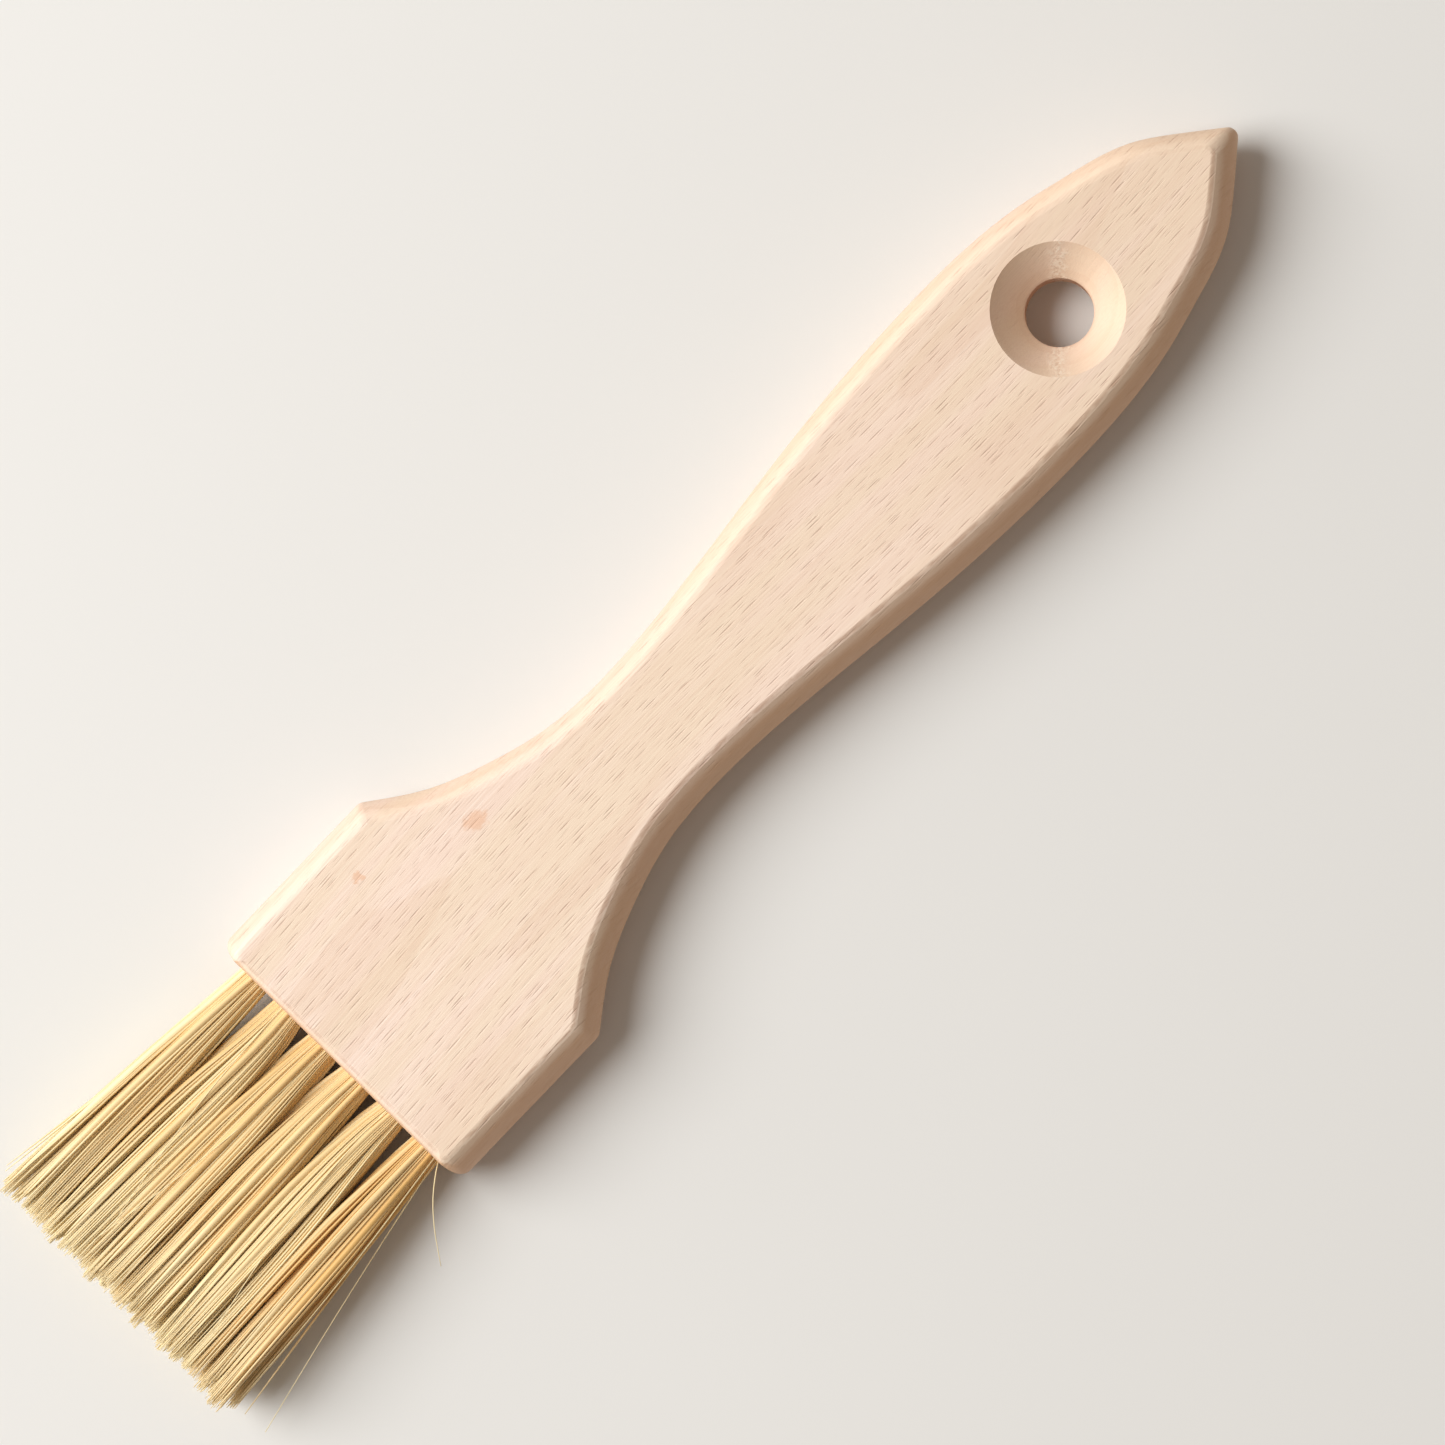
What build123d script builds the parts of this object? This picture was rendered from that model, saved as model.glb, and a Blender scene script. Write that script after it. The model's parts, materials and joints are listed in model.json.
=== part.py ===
from build123d import *
import math
import os

# Pastry brush: a flat beech handle with six tufts of natural bristle set in one row in its head.
# It lies flat on the plane z = 0. X runs along it, from the bristle tips (-X) to the pointed tail (+X),
# Y across it, and the origin is under the middle of its overall length. Millimetres.

# ---- driving dimensions -------------------------------------------------------------------------
HANDLE_LENGTH = 160.0      # from the mouth, the end face of the head, to the tail tip
BRISTLE_LENGTH = 40.0      # from the mouth to the bristle tips
THICKNESS = 10.0
HEAD_HALF_WIDTH = 20.9
EDGE_INSET = 2.7           # how far the top face stops short of the widest line of the side
FACE_ROLL = 1.3            # sanded roll round the edge of both faces

MOUTH_CORNER = 1.6         # corner radii in plan
SHOULDER_CORNER = 1.6
TAIL_CORNER = 1.2

# Side of the handle from the shoulder to the tail: distance from the mouth, half width.
SHOULDER = (24.7, HEAD_HALF_WIDTH)
FLANK = [
    (31.7, 16.0),
    (39.1, 12.8),
    (47.0, 10.5),
    (57.0, 9.65),
    (80.0, 11.5),
    (98.5, 13.5),
    (117.0, 14.3),
    (135.4, 12.75),
    (141.5, 11.2),
    (147.0, 9.6),
    (150.5, 7.95),
    (153.5, 5.85),
]
SHOULDER_SLOPE = 36.0      # degrees between the flank and the long axis, where the flank starts
TAIL_SLOPE = 39.5          # and where it ends, at the tail

HOLE_TO_TAIL = 31.2        # centre of the hanging hole to the tail tip
HOLE_RADIUS = 4.3
COUNTERSINK_RADIUS = 8.4   # top face
BACK_COUNTERSINK_RADIUS = 6.3
COUNTERSINK_ANGLE = 90.0   # included angle of both countersinks

TUFT_COUNT = 6
TUFT_PITCH = 6.0
TUFT_RADIUS = 2.25         # bundle where it leaves its drilled hole
TUFT_FIT = 0.02            # radial gap between a bundle and its hole
TUFT_DEPTH = 12.5          # depth of the drilled hole, without the drill point
DRILL_POINT = 118.0        # included angle of the drill point
FLEX_SHARE = 0.15          # share of the free length between the mouth and the bending axis
FLEX_TAPER = 1.6           # the bending length tapers to a smaller end over this length
FLEX_END_RADIUS = 1.4
FLEX_GAP = 0.25            # gap between the fixed and the bending length of a tuft
TIP_HALF_WIDTH = 3.1       # ellipse of one tuft at the bristle tips
TIP_HALF_THICKNESS = 3.9
FIELD_HALF_WIDTH = 19.7    # half width of the whole row at the tips

ANCHOR_LENGTH = 5.3        # flat wire anchor: across the hole, along the hole, and its gauge
ANCHOR_HEIGHT = 2.0
ANCHOR_GAUGE = 0.4
ANCHOR_TO_BOTTOM = 2.4     # nearer edge of the anchor to the bottom of the drilled hole

# ---- derived dimensions -------------------------------------------------------------------------
OVERALL = HANDLE_LENGTH + BRISTLE_LENGTH
MOUTH_X = BRISTLE_LENGTH - OVERALL / 2
TAIL_X = OVERALL / 2
TIP_X = -OVERALL / 2
MID_Z = THICKNESS / 2
PIVOT_X = MOUTH_X - FLEX_SHARE * BRISTLE_LENGTH
SIDE_RADIUS = (EDGE_INSET**2 + MID_Z**2) / (2 * EDGE_INSET)
TIP_PITCH = 2 * (FIELD_HALF_WIDTH - TIP_HALF_WIDTH) / (TUFT_COUNT - 1)
OFFSET_SAMPLES = 32        # points that carry the flank to each level of the rounded side
SIDE_LEVELS = (-1, -0.5, 0, 0.5, 1)   # heights of the blank's outlines, as shares of the half thickness
EXTRA = 1.0                # how far a cutter runs past what it cuts
SAME_PLACE = 1e-3          # two places nearer than this are one
BASE = (Align.CENTER, Align.CENTER, Align.MIN)

if TIP_PITCH < 2 * TIP_HALF_WIDTH:
    raise ValueError("the tufts overlap at the tips")


def tuft_y(index, pitch):
    """Place of one tuft across the brush, counted from -Y."""
    return (index - (TUFT_COUNT - 1) / 2) * pitch


# ---- handle -------------------------------------------------------------------------------------
def side_inset(height):
    """How far the rounded side lies inside the widest line, at a height from the middle plane."""
    return SIDE_RADIUS - math.sqrt(SIDE_RADIUS**2 - height**2)


def flank(inset):
    """Side line from the shoulder to the tail vertex, moved inwards by inset."""
    shoulder = math.radians(SHOULDER_SLOPE)
    tail = math.radians(TAIL_SLOPE)
    vertex_x = TAIL_X + TAIL_CORNER * (1 / math.sin(tail) - 1)
    widest = [(MOUTH_X + along, half) for along, half in [SHOULDER] + FLANK] + [(vertex_x, 0)]
    tangents = [(math.cos(slope), -math.sin(slope)) for slope in (shoulder, tail)]
    curve = Spline(*widest, tangents=tangents)
    points = [(widest[0][0] - inset * math.tan(shoulder / 2), HEAD_HALF_WIDTH - inset)]
    for step in range(1, OFFSET_SAMPLES):
        place = curve.position_at(step / OFFSET_SAMPLES)
        along = curve.tangent_at(step / OFFSET_SAMPLES)
        points.append((place.X + along.Y * inset, place.Y - along.X * inset))
    points.append((vertex_x - inset / math.sin(tail), 0))
    return Spline(*points, tangents=tangents)


def handle_section(height):
    """Outline of the handle at a height from its middle plane, with its corners rounded."""
    inset = side_inset(height)
    half = HEAD_HALF_WIDTH - inset
    upper = flank(inset)
    lower = mirror(upper, about=Plane.XZ)
    mouth = Polyline(lower @ 0, (MOUTH_X, -half), (MOUTH_X, half), upper @ 0)
    outline = make_face([*upper.edges(), *lower.edges(), *mouth.edges()])
    corners = (
        (MOUTH_CORNER, mouth @ 0.5),
        (SHOULDER_CORNER, upper @ 0),
        (TAIL_CORNER, upper @ 1),
    )
    for radius, corner in corners:
        outline = fillet([v for v in outline.vertices() if abs(v.X - corner.X) < SAME_PLACE], radius)
    return outline.moved(Location((0, 0, MID_Z + height)))


def blank():
    """The shaped blank: a rounded side between two flat faces, with a sanded roll between them."""
    body = loft([handle_section(MID_Z * level) for level in SIDE_LEVELS])
    rims = [edge for z in (0, THICKNESS) for edge in body.edges() if abs(edge.center().Z - z) < SAME_PLACE]
    return fillet(rims, FACE_ROLL)


def countersink_depth(rim):
    return (rim - HOLE_RADIUS) / math.tan(math.radians(COUNTERSINK_ANGLE / 2))


def hanging_hole():
    """What the drill and the two countersinks take away."""
    x = TAIL_X - HOLE_TO_TAIL
    cutter = Cylinder(HOLE_RADIUS, THICKNESS + 2 * EXTRA)
    for rim, side in ((COUNTERSINK_RADIUS, 1), (BACK_COUNTERSINK_RADIUS, -1)):
        depth = countersink_depth(rim)
        wide = rim + EXTRA * (rim - HOLE_RADIUS) / depth
        cone = Cone(HOLE_RADIUS, wide, depth + EXTRA)
        cone = cone.moved(Location((0, 0, MID_Z - depth / 2 + EXTRA / 2)))
        cutter += cone if side > 0 else mirror(cone, about=Plane.XY)
    return cutter.moved(Location((x, 0, MID_Z)))


def along_x(solid, x, y):
    """Turn a solid that was built along +Z so that it points into the head, and place it."""
    return solid.moved(Location((x, y, MID_Z), (0, 90, 0)))


def tuft_hole(y):
    """Blind hole for one tuft, with its drill point."""
    point = TUFT_RADIUS / math.tan(math.radians(DRILL_POINT / 2))
    bore = Cylinder(TUFT_RADIUS, TUFT_DEPTH + EXTRA, align=BASE)
    bore += Cone(TUFT_RADIUS, 0, point, align=BASE).moved(Location((0, 0, TUFT_DEPTH + EXTRA)))
    return along_x(bore, MOUTH_X - EXTRA, y)


def handle():
    body = blank() - hanging_hole()
    for index in range(TUFT_COUNT):
        y = tuft_y(index, TUFT_PITCH)
        body -= tuft_hole(y)
        body -= anchor(y)
    return body


# ---- tufts and their anchors --------------------------------------------------------------------
def anchor(y):
    """Flat wire across the hole and through the fold of the tuft; its ends bite into the wood."""
    x = MOUTH_X + TUFT_DEPTH - ANCHOR_TO_BOTTOM - ANCHOR_HEIGHT / 2
    return Box(ANCHOR_HEIGHT, ANCHOR_GAUGE, ANCHOR_LENGTH).moved(Location((x, y, MID_Z)))


def tuft_root(y):
    """Fixed length of a tuft: folded over its anchor in the hole, out to where the bristles bend."""
    radius = TUFT_RADIUS - TUFT_FIT
    outer_x = PIVOT_X + math.hypot(FLEX_TAPER, FLEX_END_RADIUS) + FLEX_GAP
    straight = MOUTH_X + TUFT_DEPTH - TUFT_RADIUS - outer_x
    bundle = Cylinder(radius, straight, align=BASE) + Sphere(radius).moved(Location((0, 0, straight)))
    return along_x(bundle, outer_x, y) - anchor(y)


def tuft(index):
    """Bending length of a tuft: tapered towards the head, clear of it at every angle, and fanning out."""
    root_y = tuft_y(index, TUFT_PITCH)
    tip_y = tuft_y(index, TIP_PITCH)
    ends = (
        (PIVOT_X + FLEX_TAPER, root_y, Circle(FLEX_END_RADIUS)),
        (PIVOT_X, root_y, Circle(TUFT_RADIUS)),
        (TIP_X, tip_y, Ellipse(TIP_HALF_WIDTH, TIP_HALF_THICKNESS)),
    )
    sections = [Plane((x, y, MID_Z), x_dir=(0, 1, 0), z_dir=(-1, 0, 0)) * shape for x, y, shape in ends]
    return loft(sections, ruled=True)


def main():
    os.makedirs("parts", exist_ok=True)
    nodes = {"handle": handle()}
    for index in range(TUFT_COUNT):
        y = tuft_y(index, TUFT_PITCH)
        nodes[f"anchor_{index + 1}"] = anchor(y)
        nodes[f"tuft_root_{index + 1}"] = tuft_root(y)
        nodes[f"tuft_{index + 1}"] = tuft(index)
    for name, shape in nodes.items():
        export_step(shape, f"parts/{name}.step")


if __name__ == "__main__":
    main()
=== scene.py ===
import json
import math
from collections import namedtuple

import bpy
import numpy as np
from mathutils import Matrix, Vector


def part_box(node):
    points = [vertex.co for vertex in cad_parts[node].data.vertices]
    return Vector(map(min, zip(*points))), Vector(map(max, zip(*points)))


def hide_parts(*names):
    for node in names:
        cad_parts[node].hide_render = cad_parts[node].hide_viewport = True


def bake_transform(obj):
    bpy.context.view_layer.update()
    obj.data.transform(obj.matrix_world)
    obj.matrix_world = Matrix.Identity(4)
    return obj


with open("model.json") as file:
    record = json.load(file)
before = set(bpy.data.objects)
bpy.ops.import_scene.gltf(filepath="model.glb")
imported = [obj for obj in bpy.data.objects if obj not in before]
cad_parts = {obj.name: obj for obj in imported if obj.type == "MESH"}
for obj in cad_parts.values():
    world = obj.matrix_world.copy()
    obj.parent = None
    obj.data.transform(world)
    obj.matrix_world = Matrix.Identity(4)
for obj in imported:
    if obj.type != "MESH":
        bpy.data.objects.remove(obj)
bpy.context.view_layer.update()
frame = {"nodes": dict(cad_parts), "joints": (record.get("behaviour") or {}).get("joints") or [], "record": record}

# A beech pastry brush with six tufts of blond bristle, lying on a pale floor. Metres, in the CAD frame:
# +X to the pointed tail, -X to the bristle tips, +Z up out of the face with the large countersink.

MM = 0.001
PER_MM = (1 / MM, 1 / MM, 1 / MM)   # turns a place in metres into one in millimetres
TUFTS = 6
record = frame["record"]
joints = {joint["child"]: joint for joint in frame["joints"]}
handle_low, handle_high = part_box("handle")
MOUTH_X = handle_low.x
MID_Z = (handle_low.z + handle_high.z) / 2
hole_mount = next(mount for mount in record["mounts"] if mount["name"] == "hanging_hole")
HOLE = Vector(hole_mount["pos_m"])
HOLE_RADIUS = hole_mount["dims"]["r_mm"] * MM
HOLE_LAND = hole_mount["dims"]["length_mm"] * MM


# ---- shader helpers -----------------------------------------------------------------------------
class Shader:
    """A node material under construction; each method adds a node and returns its output socket."""

    def __init__(self, name):
        self.material = bpy.data.materials.new(name)
        self.material.use_nodes = True
        self.tree = self.material.node_tree
        self.surface = self.tree.nodes["Principled BSDF"]

    def add(self, kind, settings=None, **inputs):
        """Add a node; inputs are named, or numbered as i0, i1 and so on."""
        node = self.tree.nodes.new(kind)
        for key, value in (settings or {}).items():
            setattr(node, key, value)
        for key, value in inputs.items():
            numbered = key[0] == "i" and key[1:].isdigit()
            self.put(node.inputs[int(key[1:]) if numbered else key], value)
        return node

    def put(self, socket, value):
        if isinstance(value, bpy.types.NodeSocket):
            self.tree.links.new(value, socket)
        else:
            socket.default_value = value

    def math(self, operation, a, b=0.0, c=0.0):
        return self.add("ShaderNodeMath", {"operation": operation}, i0=a, i1=b, i2=c).outputs[0]

    def product(self, first, *others):
        for other in others:
            first = self.math("MULTIPLY", first, other)
        return first

    def vector(self, operation, a, b=(0, 0, 0)):
        return self.add("ShaderNodeVectorMath", {"operation": operation}, i0=a, i1=b).outputs[0]

    def length(self, vector):
        return self.add("ShaderNodeVectorMath", {"operation": "LENGTH"}, i0=vector).outputs["Value"]

    def part(self, vector, axis):
        """One component of a vector."""
        return self.add("ShaderNodeSeparateXYZ", None, Vector=vector).outputs[axis]

    def ramp(self, value, low, high, to_low=0.0, to_high=1.0):
        """Smooth step from to_low to to_high as value goes from low to high."""
        node = self.add("ShaderNodeMapRange", {"interpolation_type": "SMOOTHSTEP"}, Value=value)
        for key, number in (("From Min", low), ("From Max", high), ("To Min", to_low), ("To Max", to_high)):
            node.inputs[key].default_value = number
        return node.outputs["Result"]

    def fall(self, value, low, high):
        """Smooth step from 1 down to 0 as value goes from low to high."""
        return self.ramp(value, low, high, 1.0, 0.0)

    def band(self, value, low, full, fading, high):
        """1 where value is between full and fading, 0 below low and above high."""
        return self.product(self.ramp(value, low, full), self.fall(value, fading, high))

    def mix(self, share, a, b):
        """Colour a, with a share of colour b mixed in."""
        node = self.add("ShaderNodeMix", {"data_type": "RGBA"}, Factor=share, i6=a, i7=b)
        return node.outputs[2]

    def noise(self, where, scale, detail=2.0, roughness=0.5):
        """Noise of the given size in where's units along each axis."""
        stretched = self.vector("DIVIDE", where, scale)
        shape = {"Scale": 1.0, "Detail": detail, "Roughness": roughness}
        return self.add("ShaderNodeTexNoise", None, Vector=stretched, **shape).outputs[0]

    def noise_vector(self, where, scale):
        """Three noises at once, each centred on zero."""
        stretched = self.vector("DIVIDE", where, (scale, scale, scale))
        node = self.add("ShaderNodeTexNoise", None, Vector=stretched, Scale=1.0, Detail=3.0)
        return self.vector("SUBTRACT", node.outputs["Color"], (0.5, 0.5, 0.5))

    def spindles(self, where, cell, half):
        """Scattered spindles along X, one to a cell of the XY plane and some of them faint."""
        flat = self.vector("MULTIPLY", where, (1 / cell[0], 1 / cell[1], 0))
        shape = {"Scale": 1.0, "Randomness": SCATTER}
        settings = {"voronoi_dimensions": "2D"}
        cells = self.add("ShaderNodeTexVoronoi", settings, Vector=flat, **shape).outputs
        offset = self.vector("SUBTRACT", flat, cells["Position"])
        offset = self.vector("MULTIPLY", offset, (cell[0] / half[0], cell[1] / half[1], 0))
        inside = self.fall(self.length(offset), *SPINDLE_EDGE)
        return self.product(inside, self.ramp(self.part(cells["Color"], "X"), *FAINT_SPINDLES))

    def near(self, where, centre, size, soft):
        """1 inside an ellipsoid, falling smoothly to 0 outside it."""
        offset = self.vector("DIVIDE", self.vector("SUBTRACT", where, centre), size)
        return self.fall(self.length(offset), 1 - soft, 1 + soft)

    def bump(self, height, distance, strength=1.0):
        inputs = {"Height": height, "Distance": distance, "Strength": strength}
        return self.add("ShaderNodeBump", None, **inputs).outputs[0]

    def finish(self, **inputs):
        for key, value in inputs.items():
            self.put(self.surface.inputs[key.replace("_", " ")], value)
        return self.material


def rgb(red, green, blue):
    """Linear colour from 0-255 display values."""
    def linear(value):
        value /= 255
        return value / 12.92 if value <= 0.04045 else ((value + 0.055) / 1.055) ** 2.4
    return (linear(red), linear(green), linear(blue), 1.0)


# ---- beech --------------------------------------------------------------------------------------
# Places and sizes are in mm. Ranges of two numbers are where a share goes from 0 to 1 or from 1 to 0,
# ranges of four are bands, unless their comment says otherwise. Noises go from 0 to 1.
PALE_WOOD = (242, 220, 195)
PINK_WOOD = (247, 223, 206)
# What is laid over the board: display colour, and how strongly where it shows in full.
WOOD_LAYERS = {
    "tail": ((236, 208, 180), 0.45),
    "fibres": ((226, 192, 168), 0.34),
    "late_wood": ((222, 186, 156), 0.22),
    "flecks": ((186, 142, 122), 0.32),
    "pores": ((196, 158, 136), 0.28),
    "knot": ((230, 176, 136), 0.55),
    "end_grain": ((214, 172, 138), 0.4),
    "vessels": ((176, 130, 98), 0.35),
    # milled brown with painted shade: strongest on the shaded -Y side and inside the countersink
    "milled": ((216, 168, 126), 1.0),
    # dark line beside the top face: partly fibres, partly painted shade on the -Y side
    "crease": ((176, 132, 102), 1.0),
    # light line on the rounded edge: partly burnish, partly painted highlight
    "polished": ((252, 232, 208), 0.15),
    "throat": ((164, 106, 70), 0.6),
    "light_splinters": ((252, 236, 216), 0.6),
    "dark_splinters": ((200, 166, 138), 0.35),
}

SOFT = {"detail": 1.0}              # a broad, soft noise and a fine, rough one
FINE = {"detail": 3.0, "roughness": 0.6}
GRAIN_WAVE = 0.042                  # the grain's gentle wave: radians per mm of X, phase and reach in mm
GRAIN_PHASE = 2.1
GRAIN_REACH = 0.95
PINK_PATCHES = (70, 5, 8)           # size of the noise along each axis, and the values it comes in over
PINK_RANGE = (0.35, 0.65)
TAIL_RANGE = (-60, 100)             # along X
FIBRE_SIZE = (10, 0.17, 0.3)
FIBRE_RANGE = (0.32, 0.68)
RING_SIZE = (60, 14, 14)            # growth rings: size of their waves, height of a wave and pitch
RING_WAVE = 7.0
RING_PITCH = 2.1
LATE_WOOD = (0.55, 0.95, 0.97, 1.0)     # share of a ring, as a band

FLECK_CELL, FLECK_HALF = (4.3, 0.75), (1.5, 0.115)     # one fleck to a cell, and its half length and width
PORE_CELL, PORE_HALF = (2.3, 0.5), (0.9, 0.085)
SCATTER = 0.85                      # how far a fleck may stand from the middle of its cell
SPINDLE_EDGE = (0.35, 1.1)          # a fleck fades out between these shares of its half size
FAINT_SPINDLES = (0.1, 1.0, 0.15, 1.0)  # from a cell's random number to its fleck's strength
FLECK_PATCHES = (3.0, 3.0, 2.2)
PATCHINESS = (0.25, 0.5, 0.35, 1.0)     # from the patches' noise to the flecks' strength
COUNTERSINK_EDGE = (8.2, 8.8)       # from the hole's axis
COUNTERSINK_FLECKS = 0.25           # strength of the flecks inside the countersink

KNOTS = (((-26.4, 8.3, 10.0), (1.45, 1.15, 2.5)), ((-41.4, 14.0, 10.0), (0.8, 0.6, 2.0)))   # centre, size
KNOT_SOFTNESS = 0.35
KNOT_RAGGEDNESS = (2.6, 1.8, 0)     # reach and size of the noise that frays the knots' outline
KNOT_NOISE = 0.8
END_GRAIN = (0.75, 0.98)            # size of the normal's X
VESSEL_SIZE = (4.0, 0.16, 0.3)
VESSEL_RANGE = (0.5, 0.62)

MILLED = (0.55, 0.93)               # size of the normal's Z: milled below, sanded face above
BROWN_AND_SHADE_SIDES = (-0.25, 0.25, 0.75, 0.22)     # from the normal's Y to the strength of the milled brown and painted shade, strongest on the shaded -Y side
COUNTERSINK_SHADE = 0.35            # the same strength inside the countersink, where it is painted shade
EDGE_LINE_BAND = (0.88, 0.94, 0.965, 0.995)     # normal's Z, as a band: a dark line beside the top face, partly fibres and partly painted shade
EDGE_LINE_SHADE_SIDES = (-0.12, 0.12, 0.5, 0.10)     # from the normal's Y to the dark line's strength, which painted shade makes strongest on the shaded -Y side
EDGE_LINE_WEAR_SIZE = (2.0, 0.8, 0.8)
EDGE_LINE_WEAR = (0.3, 0.6, 0.3, 1.0)      # from the wear's noise to the dark line's strength
POLISH_AND_HIGHLIGHT_BAND = (0.62, 0.72, 0.80, 0.88)     # normal's Z, as a band: a light line on the rounded edge, partly burnish and partly painted highlight

THROAT_REACH = 0.35                 # how far the dark of the throat reaches past the hole's radius
THROAT_HEIGHT = 1.3                 # half its height, over the length of the hole's wall
THROAT_SOFTNESS = 0.1
TORN_ANGLE = math.radians(44)       # between the strip of torn fibres and the brush's length
TORN_DIRECTION = (math.cos(TORN_ANGLE), math.sin(TORN_ANGLE), 0)
TORN_EDGE = (0.2, 1.6)              # from the middle of the strip
TORN_WANDER = 3.0                   # how far the strip's middle moves to and fro
TORN_NOISE = (1.5, 1.5, 1.5)
SPLINTER_SIZE = (0.42, 0.42, 0.42)
LIGHT_SPLINTERS = (0.42, 0.6)
DARK_SPLINTERS = (0.34, 0.44)

RELIEF = {"fibres": 0.6, "flecks": -0.9, "pores": -0.4, "splinters": 1.3}   # shares of RELIEF_DEPTH
RELIEF_DEPTH = 0.07 * MM
RELIEF_STRENGTH = 0.6
ROUGHNESS = (0.3, 0.7, 0.5, 0.66)   # from the fibres' noise to the surface's roughness


def lay(s, base, name, *shares):
    """Lay one layer of the wood's colour over base, as strongly as its shares say together."""
    colour, strength = WOOD_LAYERS[name]
    return s.mix(s.product(strength, *shares), base, rgb(*colour))


def wavy(s, place):
    """Places shifted sideways, so that the grain runs in a gentle wave along the handle."""
    wave = s.math("SINE", s.math("MULTIPLY_ADD", s.part(place, "X"), GRAIN_WAVE, GRAIN_PHASE))
    shift = s.add("ShaderNodeCombineXYZ", None, Y=s.product(wave, -GRAIN_REACH)).outputs[0]
    return s.vector("ADD", place, shift)


def board(s, place, grain, fibres):
    """Plain sanded wood: pinkish patches, a darker tail, fine fibres and soft growth rings."""
    pink = s.ramp(s.noise(grain, PINK_PATCHES), *PINK_RANGE)
    base = s.mix(pink, rgb(*PALE_WOOD), rgb(*PINK_WOOD))
    base = lay(s, base, "tail", s.ramp(s.part(place, "X"), *TAIL_RANGE))
    base = lay(s, base, "fibres", s.ramp(fibres, *FIBRE_RANGE))
    height = s.math("MULTIPLY_ADD", s.noise(grain, RING_SIZE, **SOFT), RING_WAVE, s.part(place, "Z"))
    ring = s.math("FRACT", s.math("DIVIDE", height, RING_PITCH))
    return lay(s, base, "late_wood", s.band(ring, *LATE_WOOD))


def fleck_strength(s, place, radius):
    """How strongly flecks and pores show: patchily, and weaker inside the countersink."""
    patches = s.ramp(s.noise(place, FLECK_PATCHES, **SOFT), *PATCHINESS)
    return s.product(patches, s.ramp(radius, *COUNTERSINK_EDGE, COUNTERSINK_FLECKS, 1.0))


def knots(s, base, place):
    ragged = s.vector("MULTIPLY", s.noise_vector(place, KNOT_NOISE), KNOT_RAGGEDNESS)
    ragged = s.vector("ADD", place, ragged)
    for centre, size in KNOTS:
        base = lay(s, base, "knot", s.near(ragged, centre, size, KNOT_SOFTNESS))
    return base


def end_grain(s, base, place, normal):
    """Browner wood with open vessels where the grain is cut across."""
    cut = s.ramp(s.math("ABSOLUTE", s.part(normal, "X")), *END_GRAIN)
    base = lay(s, base, "end_grain", cut)
    return lay(s, base, "vessels", cut, s.ramp(s.noise(place, VESSEL_SIZE), *VESSEL_RANGE))


def edges(s, base, grain, radius, normal):
    """Brown milled sides and countersink, with painted shade that is strongest on the shaded -Y side and inside
    the countersink; a dark line beside the top face, partly worn fibres and partly painted shade on the -Y side; a
    light line on the rounded edge, partly burnish and partly painted highlight.
    """
    sideways, upright = s.part(normal, "Y"), s.part(normal, "Z")
    milled = s.fall(s.math("ABSOLUTE", upright), *MILLED)
    outside_brown_and_shade = s.math("SUBTRACT", s.ramp(sideways, *BROWN_AND_SHADE_SIDES), COUNTERSINK_SHADE)
    brown_and_shade = s.math("MULTIPLY_ADD", s.ramp(radius, *COUNTERSINK_EDGE), outside_brown_and_shade, COUNTERSINK_SHADE)
    # painted shade in the milled brown: strongest on the shaded -Y side and inside the countersink
    base = lay(s, base, "milled", milled, brown_and_shade)
    worn = s.ramp(s.noise(grain, EDGE_LINE_WEAR_SIZE), *EDGE_LINE_WEAR)
    # the dark line, with painted shade making it strongest on the shaded -Y side
    base = lay(s, base, "crease", s.band(upright, *EDGE_LINE_BAND), worn, s.ramp(sideways, *EDGE_LINE_SHADE_SIDES))
    # the light line, partly burnish and partly painted highlight on the rounded edge
    return lay(s, base, "polished", s.band(upright, *POLISH_AND_HIGHLIGHT_BAND))


def throat(s, base, place):
    """Darker wood on the wall of the hanging hole."""
    reach = HOLE_RADIUS / MM + THROAT_REACH
    size = (reach, reach, HOLE_LAND / MM * THROAT_HEIGHT)
    return lay(s, base, "throat", s.near(place, HOLE / MM, size, THROAT_SOFTNESS))


def torn_strip(s, place, from_hole, radius):
    """Where the countersink's cutter tore the fibres: a ragged strip across the countersink."""
    beside = s.part(s.vector("CROSS_PRODUCT", from_hole, TORN_DIRECTION), "Z")
    centred = s.math("SUBTRACT", beside, TORN_WANDER / 2)
    beside = s.math("MULTIPLY_ADD", s.noise(place, TORN_NOISE, **SOFT), TORN_WANDER, centred)
    strip = s.fall(s.math("ABSOLUTE", beside), *TORN_EDGE)
    return s.product(strip, s.fall(radius, *COUNTERSINK_EDGE))


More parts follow.
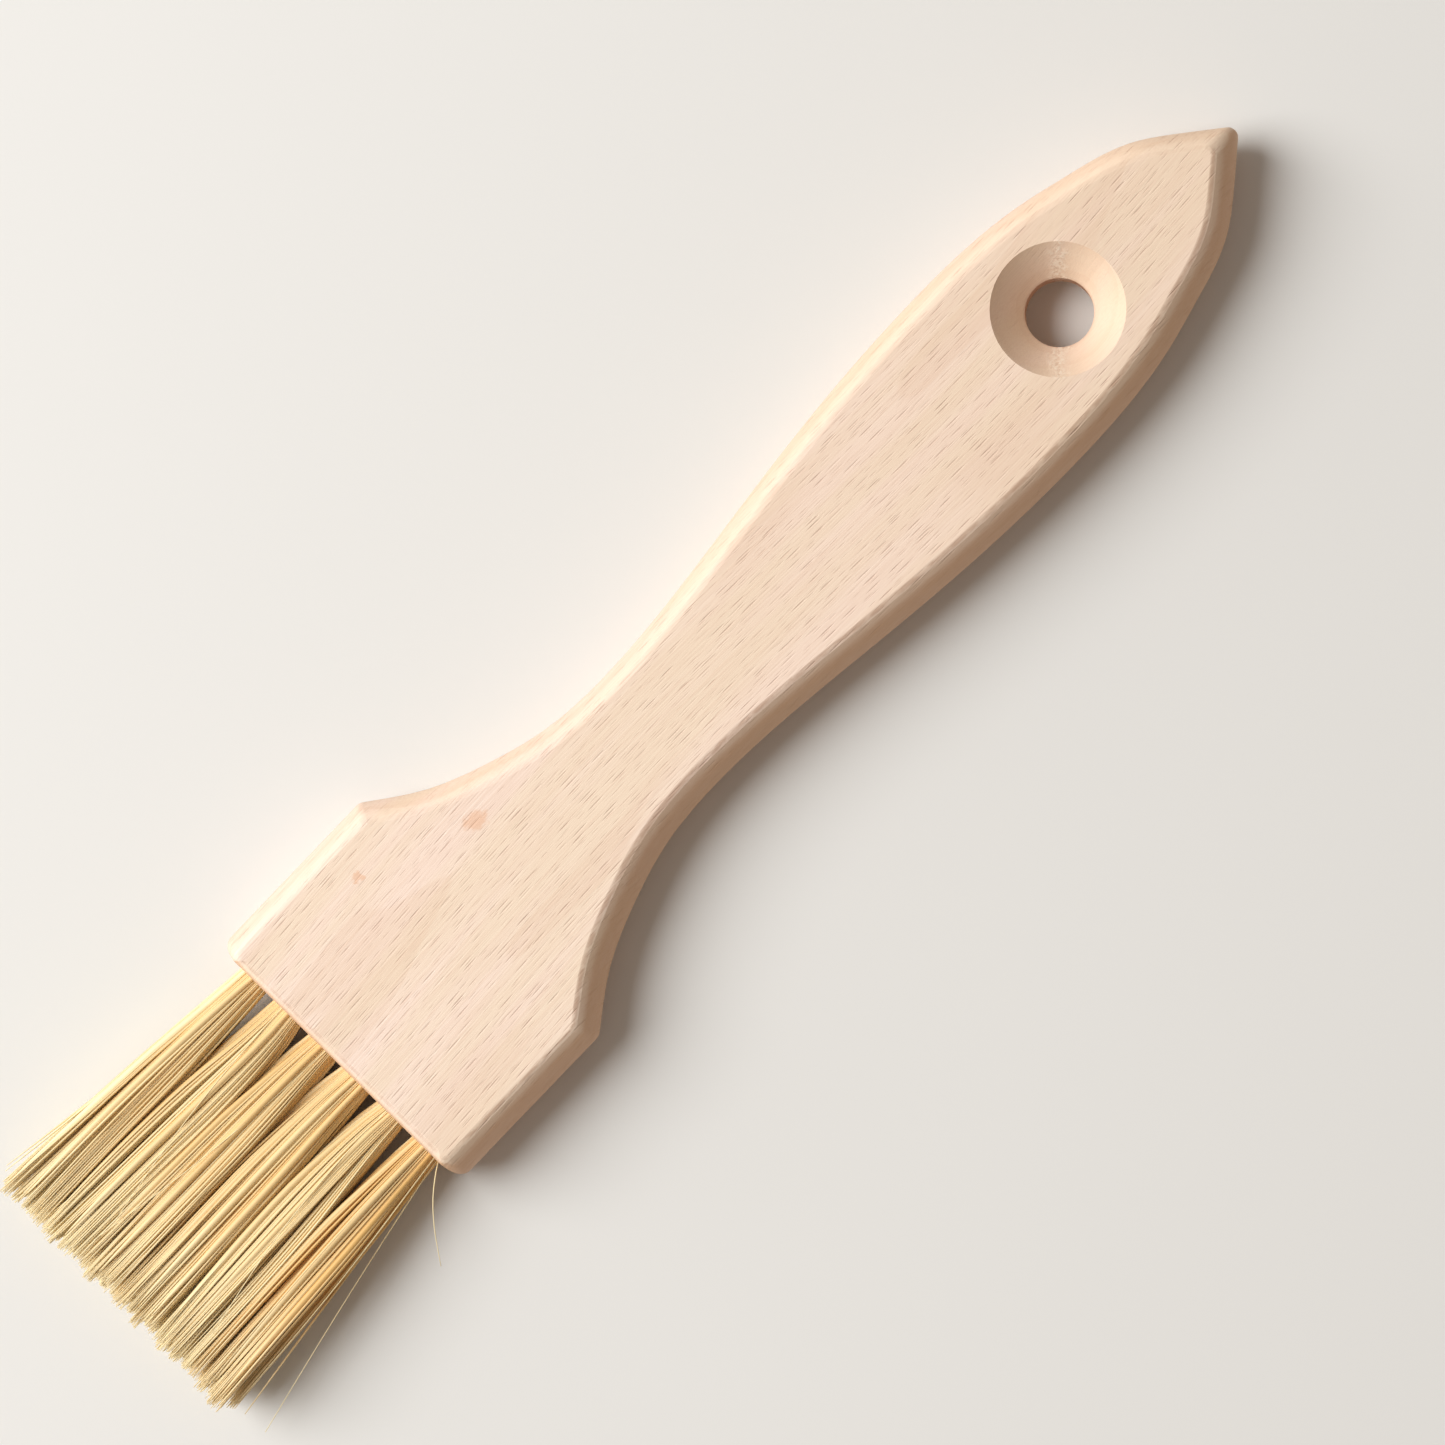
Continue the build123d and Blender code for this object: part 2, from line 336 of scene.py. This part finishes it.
def beech():
    """Sanded, unfinished beech: short ray flecks along the grain, fine fibres, soft rings, two pin knots."""
    s = Shader("beech_wood")
    coords = s.add("ShaderNodeTexCoord").outputs
    normal = coords["Normal"]
    place = s.vector("MULTIPLY", coords["Object"], PER_MM)
    grain = wavy(s, place)
    from_hole = s.vector("SUBTRACT", place, (HOLE.x / MM, HOLE.y / MM, 0))
    radius = s.length(s.vector("MULTIPLY", from_hole, (1, 1, 0)))

    fibres = s.noise(grain, FIBRE_SIZE, **FINE)
    strength = fleck_strength(s, place, radius)
    flecks = s.product(s.spindles(grain, FLECK_CELL, FLECK_HALF), strength)
    pores = s.product(s.spindles(grain, PORE_CELL, PORE_HALF), strength)
    torn = torn_strip(s, place, from_hole, radius)
    splinters = s.noise(place, SPLINTER_SIZE, **FINE)

    base = board(s, place, grain, fibres)
    base = lay(s, base, "flecks", flecks)
    base = lay(s, base, "pores", pores)
    base = knots(s, base, place)
    base = end_grain(s, base, place, normal)
    base = edges(s, base, grain, radius, normal)
    base = throat(s, base, place)
    base = lay(s, base, "light_splinters", torn, s.ramp(splinters, *LIGHT_SPLINTERS))
    base = lay(s, base, "dark_splinters", torn, s.fall(splinters, *DARK_SPLINTERS))

    heights = {"fibres": fibres, "flecks": flecks, "pores": pores, "splinters": s.product(torn, splinters)}
    relief = 0.0
    for name, height in heights.items():
        relief = s.math("MULTIPLY_ADD", height, RELIEF[name], relief)
    bumps = s.bump(relief, RELIEF_DEPTH, RELIEF_STRENGTH)
    return s.finish(Base_Color=base, Roughness=s.ramp(fibres, *ROUGHNESS), Normal=bumps)


# ---- the other materials ------------------------------------------------------------------------
DARK_HAIR = (228, 178, 102)     # at tone 0
PALE_HAIR = (255, 240, 194)     # at tone 1
HAIR_TIP = (255, 240, 198)
HAIR_TIP_RANGE = (0.5, 1.0, 0.0, 0.55)      # from the place along a free end to the tip colour's strength
HAIR_SHEEN = {"Sheen_Weight": 0.35, "Sheen_Roughness": 0.4}
HAIR_SHEEN_COLOUR = (255, 226, 160)
DARK_WIRE = (150, 148, 144)
LIGHT_WIRE = (196, 194, 190)
WIRE_LINES = (0.08, 0.08, 3.0)  # mm
WIRE_RELIEF = 0.01 * MM
FLOOR_COLOUR = (228, 226, 222)


def bristle():
    """Blond natural bristle: each hair has its own tone, which carries painted light and shade on the open sides
    of the end tufts, and grows paler towards its tip.
    """
    s = Shader("natural_bristle")
    tone = s.add("ShaderNodeAttribute", {"attribute_name": "tone"}).outputs["Fac"]
    along = s.add("ShaderNodeAttribute", {"attribute_name": "along"}).outputs["Fac"]
    colour = s.mix(tone, rgb(*DARK_HAIR), rgb(*PALE_HAIR))
    colour = s.mix(s.ramp(along, *HAIR_TIP_RANGE), colour, rgb(*HAIR_TIP))
    sheen = {**HAIR_SHEEN, "Sheen_Tint": rgb(*HAIR_SHEEN_COLOUR)}
    return s.finish(Base_Color=colour, Roughness=0.45, Specular_IOR_Level=0.35, **sheen)


def anchor_wire():
    """Flat tinned wire with fine drawing lines along its length."""
    s = Shader("anchor_wire")
    place = s.vector("MULTIPLY", s.add("ShaderNodeTexCoord").outputs["Object"], PER_MM)
    lines = s.noise(place, WIRE_LINES)
    colour = s.mix(lines, rgb(*DARK_WIRE), rgb(*LIGHT_WIRE))
    return s.finish(Base_Color=colour, Metallic=1.0, Roughness=0.38, Normal=s.bump(lines, WIRE_RELIEF))


def floor_material():
    s = Shader("pale_floor")
    return s.finish(Base_Color=rgb(*FLOOR_COLOUR), Roughness=0.9, Specular_IOR_Level=0.15)


# ---- bristles -----------------------------------------------------------------------------------
# A tuft's offsets are pairs: across the brush (Y) and up (Z). Along a free end, share goes from 0 at the
# mouth to 1 at the tip.
HAIRS = 330                 # bristles in a tuft; each is folded round the anchor, so it shows two ends
HAIR_SIDES = 4              # a hair is drawn as a tube with this many sides
HAIR_RADIUS = 0.092 * MM
RADIUS_SPREAD = 0.12        # standard deviation of the hairs' radii, over their mean
FULLNESS = 0.8              # a hair is this much thicker outside its hole
FULL_AT = 0.4               # share at which it has its full thickness
TIP_TAPER = 0.7             # how much of its thickness a hair loses by the tip
HAIR_SHORTFALL = 0.022      # about how much shorter than its lock a hair is, over the free length
HAIR_SPREAD = 0.13          # mm at the tip, standard deviation of a hair's offset from its place
LOOSE_SPREAD = 0.9          # the same for loose hairs
LOOSE_SHARE = 0.05          # how many hairs are loose
HAIR_BOW = 0.07             # mm in the middle of a free end, standard deviation
HAIR_TONE_SPREAD = 0.08
JITTER = 0.35               # of evenly scattered points, times their disc's radius / sqrt(count)

LOCKS = 22                  # the free ends of a tuft gather in this many locks
GATHER = 0.22               # how far a hair is drawn to the middle of its lock
GATHERED_AT = 0.75          # share at which it is drawn in fully
LOCK_DRIFT = (0.26, 0.22)   # mm at the tip, standard deviations
LOCK_BOW = (0.16, 0.12)     # mm in the middle of a free end, standard deviations
DRIFT_POWER = 1.3           # drift grows as this power of the share
LOCK_TONE = 0.56            # mean and standard deviation
LOCK_TONE_SPREAD = 0.10
LOCK_LENGTH = 1.022         # over the free length in the CAD
LOCK_LENGTH_SPREAD = 0.009
EDGE_LIGHT_AND_SHADE = {1: -0.40, TUFTS: 0.44}    # painted shade on the open -Y side of tuft 1 and painted light on the open +Y side of the last tuft, as changes of tone

CORE_SIDES = 8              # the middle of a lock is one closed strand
CORE_RADII = ((0.0, 0.36), (0.3, 0.50), (0.65, 0.50), (0.88, 0.30), (1.0, 0.05))   # share, mm
CORE_START = 3.0 * MM       # inside the hole
CORE_SHORTFALL = 0.045      # a strand is this much shorter than its lock, over the free length
CORE_TONE = -0.12           # the middle of a lock is this much darker than its hairs

HOLE_FILL = 2.02 * MM       # radius of the bundle inside its hole
LEG_POINTS = 14             # along a free end, from the mouth to the tip
HOLE_POINTS = 2             # from the mouth to the fold
FOLD_POINTS = 5
FOLD_CLEARANCE = 0.3 * MM   # a hair's centre line passes the middle of the anchor no nearer than this
REST_CLEARANCE = 0.25 * MM  # and comes no nearer to the plane that the brush lies on than this
SPREAD = 9.0 * MM           # a bundle has done most of its widening at this distance
OPEN_SPREAD = 45.0 * MM     # the same on the open side of an end tuft
SQUARENESS = 0.9            # how nearly the row of tufts closes up to a slab
SQUARE_AT = 0.45            # share at which it has done so
TIP_FLATNESS = 0.84         # a tuft's half width at the tip over its half thickness
TIP_FAN = 1.097             # the tufts are this many times as far apart at the tips as at the mouth
LEAN_REACH = 9.0 * MM       # a tuft's lean outside the mouth is largest at this distance
LEANS = (0.0, 0.35, 0.2, 0.1, -0.4, 0.0)    # mm along Y, one for each tuft

# Single hairs that stand away from their tuft: tuft, offset at the mouth, offset at the tip, bow and
# length, in mm.
STRAYS = (
    (1, (-1.9, 0.6), (-10.0, -1.5), (0.2, 0.5), 40.0),
    (1, (-2.0, 0.2), (-11.6, 0.8), (0.8, 2.0), 9.4),
    (1, (-1.6, 1.2), (-5.2, 2.0), (-0.6, 0.8), 39.0),
    (6, (1.7, 0.9), (4.6, 0.6), (0.5, 0.4), 38.5),
    (2, (0.6, 1.9), (-3.2, 3.8), (1.0, 1.4), 35.0),
    (4, (-0.8, 1.9), (3.6, 4.0), (-0.8, 1.2), 37.0),
    (5, (0.9, 1.9), (-2.6, 4.0), (0.6, 1.3), 33.0),
)
STRAY_TONE = 0.85
STRAY_TAPER = 0.5
STRAY_START = -0.1          # share, inside the hole

FIRST_SEED = 100            # tuft n draws its random numbers from seed FIRST_SEED + n
TINY = 1e-9                 # keeps a divisor above zero

Locks = namedtuple("Locks", "centres drift bow tone length")
Tubes = namedtuple("Tubes", "path radius tone along sides")     # like tubes, one to a row of each array


def smooth(share):
    share = np.clip(share, 0, 1)
    return share * share * (3 - 2 * share)


def spindle(share):
    return np.sin(math.pi * share)


def disc_points(count, rng):
    """Evenly scattered points of a unit disc, as (count, 2)."""
    turn = math.pi * (3 - math.sqrt(5))
    ranks = np.arange(count)
    radius = np.sqrt((ranks + 0.5) / count)
    points = np.stack([radius * np.cos(ranks * turn), radius * np.sin(ranks * turn)], 1)
    return points + rng.normal(size=points.shape) * JITTER / math.sqrt(count)


def square_off(points, amount):
    """Push points of a disc out towards the square round it, by amount from 0 to 1."""
    reach = np.linalg.norm(points, axis=2, keepdims=True)
    side = np.abs(points).max(2, keepdims=True)
    return points * (reach / np.maximum(side, TINY)) ** amount


def openness(index, at):
    """How far out each place of a tuft is on the side where the row ends, from 0 to 1."""
    outward = {1: -1, TUFTS: 1}.get(index, 0)
    return np.clip(outward * at[:, 0] / HOLE_FILL, 0, 1)


# Painted light and shade on the open sides of the end tufts, as a change of tone.
def edge_light_and_shade(index, at):
    return EDGE_LIGHT_AND_SHADE.get(index, 0) * openness(index, at)


def spread_out(index, flat, at, share, free):
    """Widen offsets from a tuft's middle line as they would be between the mouth and the tip."""
    tuft_low, tuft_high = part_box(f"tuft_{index}")
    half_thickness = (tuft_high.z - tuft_low.z) / 2
    tip_half = np.array([half_thickness * TIP_FLATNESS, half_thickness])
    spread = SPREAD + (OPEN_SPREAD - SPREAD) * openness(index, at)[:, None, None]
    widen = (1 - np.exp(-share * free / spread)) / (1 - np.exp(-free / spread))
    squared = square_off(flat, SQUARENESS * smooth(share / SQUARE_AT))
    return squared * (1 + (tip_half / HOLE_FILL - 1) * widen)


def leg(index, at, flat, share, length, shift, bow):
    """Points of free ends: at is where each leaves the mouth, flat its offset before the tuft widens."""
    root_y = joints[f"tuft_{index}"]["pos_m"][1]
    out = share * length
    flat = spread_out(index, flat, at, share, length)
    flat = flat + shift[:, None] * np.maximum(share, 0) ** DRIFT_POWER + bow[:, None] * spindle(share)
    lean = LEANS[index - 1] * MM * (out / LEAN_REACH) * np.exp(1 - out / LEAN_REACH)
    y = root_y * (1 + (TIP_FAN - 1) * share) + lean + flat[..., :1]
    z = np.maximum(MID_Z + flat[..., 1:], REST_CLEARANCE)
    return np.concatenate([MOUTH_X - out, y, z], 2)


def fold(index, start):
    """Points of folded hairs inside the hole, down one leg, round the anchor and up the other."""
    root_y = joints[f"tuft_{index}"]["pos_m"][1]
    fold_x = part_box(f"anchor_{index}")[1].x
    across, up = start[:, :1], start[:, 1:]
    down = np.linspace(MOUTH_X, fold_x, HOLE_POINTS + 1)[None, 1:-1] + 0 * across
    turn = np.linspace(0, math.pi, FOLD_POINTS)[None]
    x = np.concatenate([down, fold_x + across * np.sin(turn), down[:, ::-1]], 1)
    y = np.concatenate([across + 0 * down, across * np.cos(turn), -across + 0 * down], 1)
    return np.stack([x, root_y + y, MID_Z + up + 0 * x], 2)


def make_locks(rng):
    """How each lock of a tuft runs: its place in the mouth, drift, bow, tone and length."""
    centres = disc_points(LOCKS, rng) * HOLE_FILL
    drift = rng.normal(size=(LOCKS, 2)) * LOCK_DRIFT * MM
    bow = rng.normal(size=(LOCKS, 2)) * LOCK_BOW * MM
    tone = LOCK_TONE + rng.normal(size=LOCKS) * LOCK_TONE_SPREAD
    length = LOCK_LENGTH + rng.normal(size=LOCKS) * LOCK_LENGTH_SPREAD
    return Locks(centres, drift, bow, tone, length)


def free_ends(index, at, locks, share, free, rng):
    """Points and tones of the hairs that leave the mouth at the places at."""
    count = len(at)
    lock = np.argmin(((at[:, None] - locks.centres[None]) ** 2).sum(2), 1)
    centre = locks.centres[lock]
    shortfall = HAIR_SHORTFALL * np.abs(rng.normal(size=count))
    length = free * (locks.length[lock] - shortfall)[:, None, None]
    flat = centre[:, None] + (at - centre)[:, None] * (1 - GATHER * smooth(share / GATHERED_AT))
    spread = np.where(rng.random(count) < LOOSE_SHARE, LOOSE_SPREAD, HAIR_SPREAD)[:, None]
    shift = locks.drift[lock] + spread * rng.normal(size=(count, 2)) * MM
    bow = locks.bow[lock] + rng.normal(size=(count, 2)) * HAIR_BOW * MM
    # the tone carries painted light and shade on the open sides of the end tufts
    tone = locks.tone[lock] + edge_light_and_shade(index, at) + HAIR_TONE_SPREAD * rng.normal(size=count)
    return leg(index, at, flat, share, length, shift, bow), np.clip(tone, 0, 1)


def hairs(index, locks, start, free, rng):
    """The folded hairs of a tuft, from one tip round the anchor to the other tip."""
    count = len(start)
    share = np.linspace(0, 1, LEG_POINTS)[None, :, None]
    first, _ = free_ends(index, start, locks, share, free, rng)
    # The whole hair takes the tone of its second end.
    second, tone = free_ends(index, start * (-1, 1), locks, share, free, rng)
    inside = fold(index, start)
    path = np.concatenate([first[:, ::-1], inside, second], 1)
    outer = np.repeat(share[..., 0], count, 0)
    along = np.concatenate([outer[:, ::-1], np.zeros(inside.shape[:2]), outer], 1)
    radius = HAIR_RADIUS * (1 + RADIUS_SPREAD * rng.normal(size=count))[:, None]
    radius = radius * (1 + FULLNESS * smooth(along / FULL_AT)) * (1 - TIP_TAPER * along**4)
    return Tubes(path, radius, tone[:, None] + 0 * along, along, HAIR_SIDES)


def cores(index, locks, free):
    """The closely packed middles of a tuft's locks."""
    share = np.linspace(-CORE_START / free, 1, LEG_POINTS + 1)[None, :, None]
    length = free * (locks.length - CORE_SHORTFALL)[:, None, None]
    flat = locks.centres[:, None] + 0 * share
    path = leg(index, locks.centres, flat, share, length, locks.drift, locks.bow)
    along = np.repeat(share[..., 0], LOCKS, 0)
    radius = np.interp(along, *zip(*CORE_RADII)) * MM
    # the tone carries painted light and shade on the open sides of the end tufts
    tone = np.clip(locks.tone + CORE_TONE + edge_light_and_shade(index, locks.centres), 0, 1)
    return Tubes(path, radius, tone[:, None] + 0 * along, np.maximum(along, 0), CORE_SIDES)


def strays(index):
    """Single hairs that have sprung away from the tuft."""
    root = (joints[f"tuft_{index}"]["pos_m"][1], MID_Z)
    share = np.linspace(STRAY_START, 1, LEG_POINTS)[:, None]
    outside = np.maximum(share, 0)
    along = outside.T
    tubes = []
    for _, low, high, bow, length in [stray for stray in STRAYS if stray[0] == index]:
        low, high, bow = (np.array(value) * MM for value in (low, high, bow))
        flat = low + (high - low) * outside + bow * spindle(outside)
        path = np.concatenate([MOUTH_X - share * length * MM, flat + root], 1)[None]
        path[..., 2] = np.maximum(path[..., 2], REST_CLEARANCE)
        radius = HAIR_RADIUS * (1 - STRAY_TAPER * along)
        tubes.append(Tubes(path, radius, STRAY_TONE + 0 * along, along, HAIR_SIDES))
    return tubes


def tube(path, radius, sides):
    """Vertices and faces of one closed tube along each path."""
    tangent = np.gradient(path, axis=1)
    tangent /= np.linalg.norm(tangent, axis=2, keepdims=True)
    first = np.cross(np.array([0.0, 0.0, 1.0]), tangent)
    first /= np.linalg.norm(first, axis=2, keepdims=True)
    second = np.cross(tangent, first)
    turn = (np.arange(sides) * 2 * math.pi / sides)[None, None, :, None]
    ring = first[:, :, None] * np.cos(turn) + second[:, :, None] * np.sin(turn)
    vertices = (path[:, :, None] + ring * radius[:, :, None, None]).reshape(-1, 3)
    index = np.arange(len(vertices)).reshape(*path.shape[:2], sides)
    here, after = index[:, :-1], index[:, 1:]
    quads = np.stack([here, np.roll(here, -1, 2), np.roll(after, -1, 2), after], 3).reshape(-1, 4)
    return vertices, quads.tolist() + index[:, 0, ::-1].tolist() + index[:, -1].tolist()


def tube_mesh(name, tubes):
    """One object of closed tubes, with per-point tone and along values."""
    vertices, faces, tones, alongs = [], [], [], []
    for path, radius, tone, along, sides in tubes:
        shift = sum(len(part) for part in vertices)
        points, corners = tube(path, radius, sides)
        vertices.append(points)
        faces += [[corner + shift for corner in face] for face in corners]
        tones.append(np.repeat(tone.reshape(-1), sides))
        alongs.append(np.repeat(along.reshape(-1), sides))
    mesh = bpy.data.meshes.new(name)
    mesh.from_pydata(np.concatenate(vertices).tolist(), [], faces)
    mesh.polygons.foreach_set("use_smooth", [True] * len(mesh.polygons))
    for key, values in (("tone", tones), ("along", alongs)):
        attribute = mesh.attributes.new(key, "FLOAT", "POINT")
        attribute.data.foreach_set("value", np.concatenate(values).astype(np.float32))
    piece = bpy.data.objects.new(name, mesh)
    bpy.context.scene.collection.objects.link(piece)
    return piece


def tuft_tubes(index):
    """All the hairs of one tuft."""
    rng = np.random.default_rng(FIRST_SEED + index)
    free = MOUTH_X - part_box(f"tuft_{index}")[0].x
    start = disc_points(2 * HAIRS, rng)
    start = start[start[:, 0] > 0][:HAIRS] * HOLE_FILL
    start[:, 0] = np.maximum(start[:, 0], FOLD_CLEARANCE)
    locks = make_locks(rng)
    return [hairs(index, locks, start, free, rng), cores(index, locks, free), *strays(index)]


def make_tuft(index, material):
    piece = tube_mesh(f"bristles_{index}", tuft_tubes(index))
    piece.data.materials.append(material)
    body = f"tuft_{index}"
    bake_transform(piece)
    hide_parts(body, f"tuft_root_{index}")


# ---- stage --------------------------------------------------------------------------------------
FRAME_WIDTH = 179.2 * MM    # what the picture's side spans at the brush
TARGET = Vector((3.40, -4.95, 5.0)) * MM        # what the camera looks at
AXIS_IN_PICTURE = Vector((0.6949, 0.7191))      # the brush's +X in the picture, right and up
LEAN_ACROSS = math.radians(5.5)     # the camera leans this far towards -Y
LEAN_ALONG = math.radians(2.5)      # and this far towards +X
LENS = 150.0                # focal length and width of the camera's sensor, in mm
SENSOR = 36.0

FLOOR_GAP = 0.05 * MM       # keeps the floor clear of the flat underside
FLOOR_SIZE = 8.0
WORLD_COLOUR = (1.0, 0.87, 0.76, 1)
WORLD_STRENGTH = 0.26
# Round soft lights turned to the origin: name, place, diameter, watts and colour.
LIGHTS = (
    ("softbox", (-0.59, 0.88, 1.06), 1.3, 28.8, (0.97, 0.99, 1.0)),
    ("low_fill", (-0.65, 1.28, 0.40), 0.8, 3.6, (1.0, 0.98, 0.96)),
)


def make_camera():
    data = bpy.data.cameras.new("camera")
    data.lens = LENS
    data.sensor_width = SENSOR
    camera = bpy.data.objects.new("camera", data)
    bpy.context.scene.collection.objects.link(camera)
    away = Vector((math.tan(LEAN_ALONG), -math.tan(LEAN_ACROSS), 1)).normalized()
    up_hint = Vector((AXIS_IN_PICTURE.y, AXIS_IN_PICTURE.x, 0))
    right = up_hint.cross(away).normalized()
    up = away.cross(right)
    distance = FRAME_WIDTH / 2 / (SENSOR / 2 / LENS)
    turn = Matrix((right, up, away)).transposed().to_4x4()
    camera.matrix_world = Matrix.Translation(TARGET + away * distance) @ turn
    bpy.context.scene.camera = camera


def area_light(name, place, size, power, colour):
    data = bpy.data.lights.new(name, "AREA")
    data.shape = "DISK"
    data.size = size
    data.energy = power
    data.color = colour
    light = bpy.data.objects.new(name, data)
    bpy.context.scene.collection.objects.link(light)
    light.location = place
    light.rotation_euler = (-Vector(place)).to_track_quat("-Z", "Y").to_euler()


def make_floor():
    bpy.ops.mesh.primitive_plane_add(size=FLOOR_SIZE, location=(0, 0, -FLOOR_GAP))
    floor = bpy.context.object
    floor.name = "floor"
    floor.data.materials.append(floor_material())


def make_stage():
    world = bpy.data.worlds.new("studio")
    world.use_nodes = True
    background = world.node_tree.nodes["Background"]
    background.inputs["Color"].default_value = WORLD_COLOUR
    background.inputs["Strength"].default_value = WORLD_STRENGTH
    bpy.context.scene.world = world
    for light in LIGHTS:
        area_light(*light)
    make_floor()
    bpy.context.scene.view_settings.view_transform = "Standard"


def paint(node, material):
    node.data.materials.clear()
    node.data.materials.append(material)


def main():
    make_camera()
    make_stage()
    paint(frame["nodes"]["handle"], beech())
    wire = anchor_wire()
    hair = bristle()
    for index in range(1, TUFTS + 1):
        paint(frame["nodes"][f"anchor_{index}"], wire)
        make_tuft(index, hair)


main()
